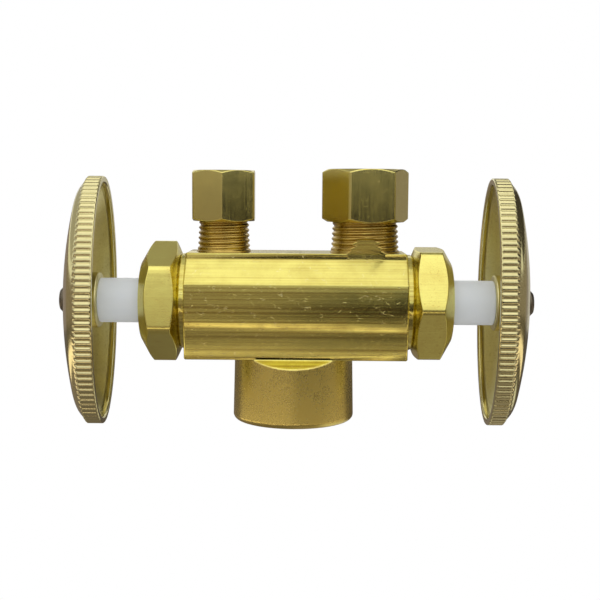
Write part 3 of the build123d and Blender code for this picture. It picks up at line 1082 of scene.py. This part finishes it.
@dataclass
class PackingNut:
    """Hexagonal nut that presses the packing round the stem."""

    side: Side
    tilt: float
    flats: float = 22.2
    rounding: float = 2.0
    start: float = 24.1
    end: float = 32.0
    face: float = 16.6
    cone: float = 2.6
    chamfer: float = 1.15
    inner_face: float = 20.4
    thread: float = 19.2
    pressing_face: float = 29.3
    hole: float = 9.5
    edge: float = 0.15
    stride: float = 0.2

    def make(self, finish: Brass) -> None:
        """Build and dress the nut, whose turned outline has a long outer cone and a short inner chamfer.

        Args:
            finish: the nut's brass.
        """
        node = self.side.word + "_packing_nut"
        corner = self.flats / math.sqrt(3)
        outline = rounded(
            [(self.thread / 2, self.start), (self.inner_face / 2, self.start),
             (corner, self.start + self.chamfer), (corner, self.end - self.cone),
             (self.face / 2, self.end), (self.hole / 2, self.end),
             (self.hole / 2, self.pressing_face), (self.thread / 2, self.pressing_face)],
            [0.1, 0.2, 0, 0, 0.35, 0.2, 0, 0])
        outline = filled(outline, self.stride)
        angle, radius = hexagon_wall(outline, 56, self.tilt, self.flats, self.rounding, self.edge)
        points = along_x(self.side, outline[:, 1:], radius, angle)
        piece = grid_piece(self.side.word + "_gland_nut", points)
        dress(piece, "root", "nut_brass", node, finishes=(finish.build(),))


# Stems, handles and screws


@dataclass
class Stem:
    """Plastic stem: cup, waist, thread, shaft and square tail."""

    side: Side
    turn: float
    shaft: float = 9.3
    waist: float = 8.4
    thread: float = 12.9
    cup: float = 10.2
    cup_wall: float = 0.7
    cup_rim: float = 13.06
    cup_floor: float = 14.26
    cup_back: float = 15.56
    thread_start: float = 19.3
    thread_end: float = 24.3
    hub_face: float = 41.0
    tail_end: float = 46.0
    tail_flats: float = 5.6
    tail_power: float = 9.0
    bore: float = 1.6
    bore_margin: float = 0.05
    stride: float = 0.5

    def make(self, finish: WhiteAcetal) -> None:
        """Build and dress the stem.

        Up to the hub it is turned. The tail's radius is then divided by the sum of the cosine and the
        sine, each to the tail's power, to one over that power: a square with round corners.

        Args:
            finish: the stem's plastic.
        """
        outside = self.cup / 2 + self.cup_wall
        waist, thread, shaft, tail = self.waist / 2, self.thread / 2, self.shaft / 2, self.tail_flats / 2
        lead_in = (thread - waist) / 2
        outline = rounded(
            [(self.bore, self.cup_floor), (self.cup / 2, self.cup_floor), (self.cup / 2, self.cup_rim),
             (outside, self.cup_rim), (outside, self.cup_back), (waist, self.cup_back),
             (waist, self.thread_start - lead_in), (thread, self.thread_start + lead_in),
             (thread, self.thread_end), (shaft, self.thread_end), (shaft, self.hub_face),
             (tail, self.hub_face), (tail, self.tail_end), (self.bore, self.tail_end)],
            [0, 0, 0.1, 0.2, 0.2, 0.3, 0.2, 0.2, 0.2, 0.2, 0.15, 0, 0.2, 0])
        outline = filled(outline, self.stride)
        angle = whole_turn(144)
        lean = angle + math.radians(self.turn)
        power = self.tail_power
        square = (np.abs(np.cos(lean)) ** power + np.abs(np.sin(lean)) ** power) ** (-1 / power)
        radius, reach = outline[:, :1], outline[:, 1:]
        on_tail = (reach >= self.hub_face - FINE) & (radius <= tail + FINE)
        on_tail = on_tail & (radius > self.bore + self.bore_margin)
        points = along_x(self.side, reach, radius * np.where(on_tail, square, 1.0), angle)
        piece = grid_piece(self.side.word + "_moulded_stem", points)
        dress(piece, self.side.word + "_spindle", "white_acetal", self.side.word + "_stem",
              finishes=(finish.build(),))


@dataclass
class Handle:
    """Oval dished handle with a reeded rim and a round hub."""

    side: Side
    turn: float
    rim_reach: float = 40.15
    long: float = 51.8
    short: float = 29.34
    band_width: float = 3.2
    teeth: int = 100
    samples: int = 7
    tooth_depth: float = 0.45
    band_wall: float = 0.95
    dome_inset: float = 0.5
    dome_height: float = 8.1
    crown_radius: float = 93.0
    crown_points: int = 40
    middle_points: int = 16
    shoulder_points: int = 13
    shoulder_run: float = 3.2
    inner_shoulder_run: float = 7.5
    inner_side: float = 1.0
    reeding_fade: float = 0.8
    tooth_power: float = 2.4
    lip: float = 0.5
    lip_start: float = 0.1
    rim_edge: float = 0.3
    inner_rim_edge: float = 0.4
    band_stride: float = 0.3
    sheet: float = 1.1
    hub: float = 11.6
    hub_edge: float = 0.35
    hub_recess: float = 0.85
    socket: float = 5.7
    socket_power: float = 12.0
    socket_edge: float = 0.3
    socket_depth: float = 5.2
    screw_hole: float = 3.5
    spot_face: float = 6.0
    spot_depth: float = 0.1
    spot_gap: float = 0.02
    hub_stride: float = 0.5
    dish_facing: float = 0.1

    def around(self) -> np.ndarray:
        """Angles of the oval's own parameter, at equal distances along its rim.

        The distance is the running sum of short chords, read backwards at even marks.

        Returns:
            The angles in radians, as one row.
        """
        fine = np.linspace(0, 2 * math.pi, 20001)
        up, across = self.long / 2 * np.cos(fine), self.short / 2 * np.sin(fine)
        travelled = np.concatenate([[0], np.cumsum(np.hypot(np.diff(up), np.diff(across)))])
        count = self.teeth * self.samples
        return np.interp(np.arange(count) / count * travelled[-1], travelled, fine)[None, :]

    def dome(self, inset: float, side: float, height: float, run: float) -> np.ndarray:
        """Half section of an oval dome, from its middle out to the foot of its shoulder.

        The crown is an arc of the crown's radius. The shoulder leaves it along its tangent and turns
        down with the arc of a circle that ends at the side.

        Args:
            inset: from the reeding's tips to the dome's side.
            side: height of the shoulder's foot above the rim's plane.
            height: height of the middle above the rim's plane.
            run: width of the shoulder.

        Returns:
            Points of radius along the long axis and height.
        """
        long_half = self.long / 2 - inset
        edge = long_half - run
        radius = np.linspace(0, edge, self.crown_points)
        crown = height - self.crown_radius + np.sqrt(self.crown_radius ** 2 - radius ** 2)
        slope = math.asin(edge / self.crown_radius)
        start = np.array([edge, crown[-1]])
        foot = np.array([long_half, side])
        tangent = np.array([math.cos(slope), -math.sin(slope)])
        inward = np.array([-math.sin(slope), -math.cos(slope)])
        chord = foot - start
        bend = (chord @ chord) / (2 * (chord @ inward))
        centre = start + inward * bend
        sweep = 2 * math.atan2(chord @ inward, chord @ tangent)
        angle = np.linspace(0, sweep, self.shoulder_points)[1:, None]
        shoulder = centre + bend * (-inward * np.cos(angle) + tangent * np.sin(angle))
        return np.vstack([np.stack([radius, crown], 1), shoulder])

    def dome_rows(self, section: np.ndarray, inset: float, hole: float, angle: np.ndarray) -> Rows:
        """Rows of a dome from a round hole in its middle out to its foot.

        A row's points lie between the hole's circle and the dome's oval foot. Each point's height is the
        section's at the radius that the point has once the oval is stretched back to a circle.

        Args:
            section: the dome's half section.
            inset: from the reeding's tips to the dome's side.
            hole: the hole's radius.
            angle: the oval's parameter.

        Returns:
            Heights, and distances up and across, each rows by columns.
        """
        ratio = (self.short / 2 - inset) / (self.long / 2 - inset)
        edge = self.crown_points - 1
        foot = section[-1, 0]
        inner = np.linspace(0, 1, self.middle_points)[:-1] * (section[edge, 0] - hole) / (foot - hole)
        outer = (section[edge:, 0] - hole) / (foot - hole)
        share = np.concatenate([inner, outer])[:, None]
        up = (hole * (1 - share) + foot * share) * np.cos(angle)
        across = (hole * (1 - share) + foot * ratio * share) * np.sin(angle)
        stretched = np.hypot(up, across / ratio)
        height = np.interp(np.minimum(stretched, foot), section[:, 0], section[:, 1])
        return height, up, across

    def outer_rows(self, angle: np.ndarray, normal: np.ndarray, groove: np.ndarray) -> Rows:
        """Rows of the outer dome, whose foot swells out to the reeding.

        Args:
            angle: the oval's parameter.
            normal: the rim's normals, up and across.
            groove: how deep the reeding is cut at each angle.

        Returns:
            Heights, and distances up and across.
        """
        section = self.dome(self.dome_inset, self.band_width, self.dome_height, self.shoulder_run)
        height, up, across = self.dome_rows(section, self.dome_inset, self.spot_face / 2, angle)
        plain = smooth_step(height, self.band_width, self.band_width + self.reeding_fade)
        raised = (self.dome_inset - groove) * (1 - plain)
        return height, up + raised * normal[0], across + raised * normal[1]

    def band_rows(self, angle: np.ndarray, normal: np.ndarray, groove: np.ndarray) -> Rows:
        """Rows of the reeded band and the rim, inset from the tips' oval along its own normal.

        The band's outline is open, so the point before its first corner is left out, and so are the
        points of its inner side from just under the dish's foot upwards.

        Args:
            angle: the oval's parameter.
            normal: the rim's normals, up and across.
            groove: how deep the reeding is cut at each angle.

        Returns:
            Heights, and distances up and across.
        """
        wall = self.tooth_depth + self.band_wall
        band = rounded([(0, self.band_width), (0, 0), (wall, 0), (wall, self.band_width)],
                       [0, self.rim_edge, self.inner_rim_edge, 0])
        band = filled(band, self.band_stride, False)[1:]
        band = band[(band[:, 0] < wall - FINE) | (band[:, 1] < self.inner_side - self.lip_start)]
        inset, height = band[:, :1], band[:, 1:]
        on_band = smooth_step(height, self.lip_start, self.lip) * (inset < self.rim_edge)
        inset = inset + groove * on_band
        up, across = self.long / 2 * np.cos(angle), self.short / 2 * np.sin(angle)
        return height + 0 * angle, up - inset * normal[0], across - inset * normal[1]

    def hub_rows(self, angle: np.ndarray) -> list[Rows]:
        """Rows of the hub, its square socket, the screw hole and the spot face.

        The socket's radius is half its width divided by the sum of the cosine and the sine, each to the
        socket's power, to one over that power. The hub's outline is open, so its first and last points,
        which lie on the way back between its ends, are left out.

        Args:
            angle: the oval's parameter.

        Returns:
            Heights, and distances up and across, for each stretch.
        """
        cos, sin = np.cos(angle), np.sin(angle)
        face = self.hub_recess
        hub = rounded([(self.hub / 2, self.dome_height - self.sheet), (self.hub / 2, face),
                       (self.socket / 2 + self.socket_edge, face)], [0, self.hub_edge, 0])
        hub = filled(hub, self.hub_stride, False)[1:-1]
        power = self.socket_power
        square = self.socket / 2 * (np.abs(cos) ** power + np.abs(sin) ** power) ** (-1 / power)
        floor = face + self.socket_depth
        crown = self.dome_height - self.spot_depth
        rings = (
            (hub[:, :1], hub[:, 1:]),
            (square, np.array([[face], [floor]])),
            (self.screw_hole / 2, np.array([[floor], [crown]])),
            (self.spot_face / 2 - self.spot_gap, np.array([[crown]])),
        )
        rows = []
        for radius, height in rings:
            level = height + 0 * angle
            rows.append((level, (radius + 0 * level) * cos, (radius + 0 * level) * sin))
        return rows

    def make(self, outside: Brass, inside: Brass) -> None:
        """Build and dress the handle.

        One closed section is carried round the oval: outer dome, reeded band, rim, inner dome, hub,
        square socket, screw hole and spot face. Up and across are then turned about the stem's axis. A
        tooth's height is the root of one less a power of the distance from its middle.

        Args:
            outside: the finish of the dome and the reeded rim.
            inside: the finish of the dish, on faces behind the rim that look at the valve's middle.
        """
        angle = self.around()
        normal = np.stack([np.cos(angle) / self.long, np.sin(angle) / self.short])
        normal = normal / np.linalg.norm(normal, axis=0)
        phase = (np.arange(angle.size)[None, :] / self.samples) % 1
        tooth = np.sqrt(np.clip(1 - np.abs(2 * phase - 1) ** self.tooth_power, 0, 1))
        groove = (1 - tooth) * self.tooth_depth
        wall = self.tooth_depth + self.band_wall
        inside_height = self.dome_height - self.sheet
        section = self.dome(wall, self.inner_side, inside_height, self.inner_shoulder_run)
        dish = tuple(part[::-1] for part in self.dome_rows(section, wall, self.hub / 2, angle))
        rows = [self.outer_rows(angle, normal, groove), self.band_rows(angle, normal, groove), dish]
        rows += self.hub_rows(angle)
        height, up, across = (np.vstack([row[k] for row in rows]) for k in range(3))
        lean = math.radians(self.turn)
        front = -(across * math.cos(lean) - up * math.sin(lean)) * self.side.value
        rise = up * math.cos(lean) + across * math.sin(lean)
        points = np.stack([
            BAR_MIDDLE + self.side.value * (self.rim_reach + height),
            -front,
            AXIS_HEIGHT + rise,
        ], -1)
        piece = grid_piece(self.side.word + "_dished_handle", points)
        dress(piece, self.side.word + "_spindle", "handle_brass", self.side.word + "_handle",
              finishes=(outside.build(), inside.build()))
        normal, middle = face_vectors(piece.data)
        behind = self.side.value * (middle[:, 0] / MM - BAR_MIDDLE) > self.rim_reach + self.lip
        second_finish(piece, behind & (self.side.value * normal[:, 0] < -self.dish_facing))


@dataclass
class InnerPieces:
    """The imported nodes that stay: rings, sleeves, washers and screws."""

    edge: float = 0.12
    edge_angle: float = 30.0

    def ease(self, node: bpy.types.Object) -> None:
        """Join a screw's loose faces and ease its edges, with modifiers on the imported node."""
        weld = node.modifiers.new("joined faces", "WELD")
        weld.merge_threshold = FINE
        bevel = node.modifiers.new("eased edges", "BEVEL")
        bevel.width = self.edge * MM
        bevel.segments = 2
        bevel.limit_method = "ANGLE"
        bevel.angle_limit = math.radians(self.edge_angle)
        bevel.harden_normals = True

    def make(self, brass: Brass, rubber: DullSolid, steel: DullSolid) -> None:
        """Give the nodes their materials and ease the screws.

        Args:
            brass: the finish of rings, sleeves and washer screws.
            rubber: the finish of packing rings and seat washers.
            steel: the finish of the handles' screws.
        """
        kinds = {
            "packing_washer": brass, "friction_ring": brass, "washer_screw": brass, "ferrule": brass,
            "packing_ring": rubber, "seat_washer": rubber, "handle_screw": steel,
        }
        made = {finish.name: finish.build() for finish in kinds.values()}
        for name, node in frame["nodes"].items():
            kind = name.split("_", 1)[1]
            if kind not in kinds:
                continue
            node.data.materials.clear()
            node.data.materials.append(made[kinds[kind].name])
            if kind in ("handle_screw", "washer_screw"):
                self.ease(node)
            log.info("%s: packed node in %s", name, kinds[kind].name)


# Studio


@dataclass
class Camera:
    """The photograph's camera, as fitted to the nuts, the bar and the handles' rims."""

    focal_pixels: float = 1060.0
    picture_pixels: float = 600.0
    distance: float = 220.7
    sideways: float = 2.68
    height: float = 47.03
    yaw: float = -0.0065
    pitch: float = 0.1035
    roll: float = 0.0075
    sensor: float = 36.0
    nearest: float = 10.0
    furthest: float = 20000.0

    def make(self) -> None:
        """Set up the camera, whose forward, right and up directions come from angles in radians."""
        data = bpy.data.cameras.new("camera")
        data.sensor_width = self.sensor
        data.lens = self.focal_pixels / self.picture_pixels * data.sensor_width
        data.clip_start, data.clip_end = self.nearest * MM, self.furthest * MM
        forward = Vector((math.sin(self.yaw) * math.cos(self.pitch),
                          math.cos(self.yaw) * math.cos(self.pitch), -math.sin(self.pitch)))
        level = Vector((math.cos(self.yaw), -math.sin(self.yaw), 0.0))
        upward = level.cross(forward)
        right = level * math.cos(self.roll) + upward * math.sin(self.roll)
        top = upward * math.cos(self.roll) - level * math.sin(self.roll)
        camera = bpy.data.objects.new("camera", data)
        bpy.context.scene.collection.objects.link(camera)
        turned = Matrix((right, top, -forward)).transposed()
        place = Vector((self.sideways, -self.distance, self.height)) * MM
        camera.matrix_world = Matrix.Translation(place) @ turned.to_4x4()
        bpy.context.scene.camera = camera


@dataclass(frozen=True)
class Card:
    """A part of a sphere about the valve that only reflections see, with its brightness."""

    name: str
    radius: float
    low: float
    high: float
    spread: float
    facing: float
    left_level: float
    right_level: float
    tint: tuple[float, float, float]
    turnover: float = 0.14

    def make(self) -> None:
        """Build the card.

        Its points lie on a sphere between two elevations, and round from one side of its facing to the
        other. Its brightness goes smoothly from the left level to the right one across the middle.
        """
        turn = np.radians(np.linspace(-self.spread, self.spread, 73) + self.facing)[None, :]
        climb = np.radians(np.linspace(self.low, self.high, 31))[:, None]
        points = self.radius * np.stack(np.broadcast_arrays(
            np.cos(climb) * np.sin(turn), -np.cos(climb) * np.cos(turn), np.sin(climb)), -1)
        piece = grid_piece(self.name, points + np.array([0, 0, AXIS_HEIGHT]), False)
        shader = Shader(self.name)
        split = shader.node("ShaderNodeSeparateXYZ")
        shader.feed(split.inputs[0], shader.place((1 / self.radius,) * 3))
        level = shader.span(split.outputs["X"], -self.turnover, self.turnover, self.left_level,
                            self.right_level, "SMOOTHSTEP")
        glow = shader.node("ShaderNodeEmission")
        glow.inputs["Color"].default_value = colour(*self.tint)
        shader.feed(glow.inputs["Strength"], level)
        shader.feed(shader.tree.nodes["Material Output"].inputs["Surface"], glow.outputs[0])
        piece.data.materials.append(shader.material)
        piece.visible_camera = False
        piece.visible_diffuse = False
        piece.visible_shadow = False


@dataclass
class Studio:
    """White surroundings, a large soft lamp overhead and cards for the brass to reflect."""

    floor_drop: float = 700.0
    floor_half: float = 4000.0
    floor_grey: float = 0.9
    fill: float = 0.9
    fill_tint: tuple[float, float, float] = (0.95, 0.99, 1.06)
    lamp_height: float = 420.0
    lamp_width: float = 520.0
    lamp_depth: float = 420.0
    lamp_front: float = 120.0
    lamp_level: float = 0.25
    cards: tuple[Card, ...] = (
        # name, radius, lowest and highest elevation, half spread, facing, left and right level, tint
        Card("under_table", 480.0, -90.0, -48.0, 180.0, 0.0, 0.18, 0.30, (1.0, 0.88, 0.8)),
        Card("near_table", 480.0, -48.0, -13.5, 180.0, 0.0, 0.23, 0.10, (1.0, 0.84, 0.76)),
        Card("middle_table", 480.0, -13.5, -8.4, 180.0, 0.0, 0.13, 0.10, (1.0, 0.86, 0.74)),
        Card("far_table", 480.0, -8.4, 7.0, 180.0, 0.0, 0.27, 0.02, (1.0, 0.83, 0.74)),
        Card("table_edge", 470.0, -22.0, -15.0, 120.0, 0.0, 1.6, 1.3, (1.0, 0.86, 0.7)),
        Card("back_right", 463.0, -8.4, 20.0, 18.0, 162.0, 0.55, 0.55, (1.0, 0.97, 0.9)),
        Card("right_side", 465.0, -8.4, 6.5, 42.0, 112.0, 0.28, 0.28, (1.0, 0.88, 0.8)),
        Card("right_paper", 460.0, -60.0, -30.0, 45.0, 110.0, 0.8, 0.8, (1.0, 0.98, 0.9)),
        Card("right_wall", 460.0, 8.0, 75.0, 31.0, 117.0, 0.06, 0.06, (1.0, 0.9, 0.8)),
        Card("left_wall", 460.0, 12.0, 60.0, 40.0, 250.0, 0.45, 0.45, (1.0, 0.97, 0.92)),
        Card("back_ceiling", 480.0, 32.0, 75.0, 60.0, 180.0, 0.36, 0.36, (1.0, 0.97, 0.9)),
    )

    def white_for_view(self, tree: bpy.types.NodeTree, plain: object, white: object) -> object:
        """Mix of two shaders: the white one for camera, glossy and transmission rays.

        Args:
            tree: the node tree to build in.
            plain: the shader that lights the object.
            white: the shader that is seen.

        Returns:
            The mixed shader's output.
        """
        path = tree.nodes.new("ShaderNodeLightPath")
        seen = path.outputs["Is Camera Ray"]
        for kind in ("Is Glossy Ray", "Is Transmission Ray"):
            joined = tree.nodes.new("ShaderNodeMath")
            joined.operation = "MAXIMUM"
            tree.links.new(seen, joined.inputs[0])
            tree.links.new(path.outputs[kind], joined.inputs[1])
            seen = joined.outputs[0]
        mix = tree.nodes.new("ShaderNodeMixShader")
        tree.links.new(seen, mix.inputs[0])
        tree.links.new(plain, mix.inputs[1])
        tree.links.new(white, mix.inputs[2])
        return mix.outputs[0]

    def world(self) -> None:
        """A white world, dimmer where it only lights the object."""
        world = bpy.data.worlds.new("white studio")
        bpy.context.scene.world = world
        world.use_nodes = True
        tree = world.node_tree
        plain = tree.nodes["Background"]
        plain.inputs["Strength"].default_value = self.fill
        plain.inputs["Color"].default_value = colour(*self.fill_tint)
        white = tree.nodes.new("ShaderNodeBackground")
        white.inputs["Color"].default_value = colour(1, 1, 1)
        mixed = self.white_for_view(tree, plain.outputs[0], white.outputs[0])
        tree.links.new(mixed, tree.nodes["World Output"].inputs["Surface"])

    def floor(self) -> None:
        """A plain pale floor well below the valve."""
        edges = np.array([-self.floor_half, self.floor_half])
        points = np.stack(np.broadcast_arrays(edges[None, :], edges[:, None], -self.floor_drop), -1)
        piece = grid_piece("pale_floor", points, False)
        shader = Shader("pale_floor")
        shader.surface.inputs["Base Color"].default_value = colour(*(self.floor_grey,) * 3)
        shader.surface.inputs["Roughness"].default_value = self.floor_grey
        white = shader.node("ShaderNodeEmission")
        mixed = self.white_for_view(shader.tree, shader.surface.outputs[0], white.outputs[0])
        shader.tree.links.new(mixed, shader.tree.nodes["Material Output"].inputs["Surface"])
        piece.data.materials.append(shader.material)

    def lamp(self) -> None:
        """A large soft lamp above and in front, aimed at the valve.

        Its power is its level times its area times four, which gives it that brightness when it is seen.
        """
        data = bpy.data.lights.new("overhead softbox", "AREA")
        data.shape = "RECTANGLE"
        data.size, data.size_y = self.lamp_width * MM, self.lamp_depth * MM
        data.energy = self.lamp_level * data.size * data.size_y * 4
        lamp = bpy.data.objects.new("overhead softbox", data)
        bpy.context.scene.collection.objects.link(lamp)
        place = Vector((0, -self.lamp_front, AXIS_HEIGHT + self.lamp_height)) * MM
        aim = Vector((0, 0, AXIS_HEIGHT)) * MM - place
        lamp.location = place
        lamp.rotation_euler = aim.to_track_quat("-Z", "Y").to_euler()

    def make(self) -> None:
        """Set up the surroundings and the view transform."""
        bpy.context.scene.view_settings.view_transform = "Standard"
        self.world()
        self.floor()
        for card in self.cards:
            card.make()
        self.lamp()


def main() -> None:
    """Build the whole picture."""
    logging.basicConfig(level=logging.INFO, format="%(message)s")
    drawn = Brass("drawn_bar_brass", Grain.DRAWN_ALONG_X, tarnish=(0.50, 0.38, 0.09), roughness=0.15,
                  band_share=0.75, scratch_share=0.5)
    worn = Brass("worn_bar_brass", Grain.DRAWN_ALONG_X, tarnish=(0.58, 0.44, 0.10), roughness=0.3,
                 roughness_spread=0.12, band_share=0.4, scratch_share=0.6, speck_share=0.25)
    turned = Brass("turned_brass", Grain.TURNED_ABOUT_Z, base=(0.55, 0.39, 0.10),
                   tarnish=(0.34, 0.22, 0.05), tarnish_share=0.6, roughness=0.2)
    cast = Brass("boss_brass", Grain.CAST, base=(0.72, 0.58, 0.17), roughness=0.2, roughness_spread=0.12,
                 tarnish_share=0.5, speck_share=0.35, nick_depth=0.012)
    ValveBody().make(drawn, worn, turned, cast)
    nut_brass = Brass("hex_nut_brass", Grain.DRAWN_ALONG_Z, base=(0.78, 0.69, 0.23), roughness=0.14,
                      speck_share=0.25)
    CompressionNut("small", 12.7, 5.62, 3.45, 31.3).make(nut_brass)
    CompressionNut("large", 15.875, 7.21, 5.0375, 7.3).make(nut_brass)
    gland_brass = Brass("gland_nut_brass", Grain.DRAWN_ALONG_X, roughness=0.18, speck_share=0.7,
                        tarnish_share=0.35, nick_depth=0.04)
    gold = Brass("pale_gold_plate", Grain.CAST, base=(0.74, 0.67, 0.34), tarnish=(0.60, 0.52, 0.24),
                 roughness=0.14, roughness_spread=0.03, line_depth=0.002, nick_depth=0.0)
    dull_gold = Brass("dull_gold_inside", Grain.CAST, base=(0.78, 0.72, 0.38),
                      tarnish=(0.52, 0.45, 0.18), roughness=0.34, roughness_spread=0.1, speck_share=0.3)
    for side, tilt, turn in ((Side.LEFT, 36.5, 4.3), (Side.RIGHT, -2.5, 1.1)):
        PackingNut(side, tilt).make(gland_brass)
        Stem(side, turn).make(WhiteAcetal())
        Handle(side, turn).make(gold, dull_gold)
    inner_brass = Brass("inner_brass", Grain.CAST, roughness=0.35)
    rubber = DullSolid("black_rubber", (0.03, 0.03, 0.03), 0.0, 0.6)
    steel = DullSolid("dark_plated_steel", (0.20, 0.17, 0.12), 1.0, 0.35)
    InnerPieces().make(inner_brass, rubber, steel)
    Camera().make()
    Studio().make()


if __name__ == "__main__":
    main()
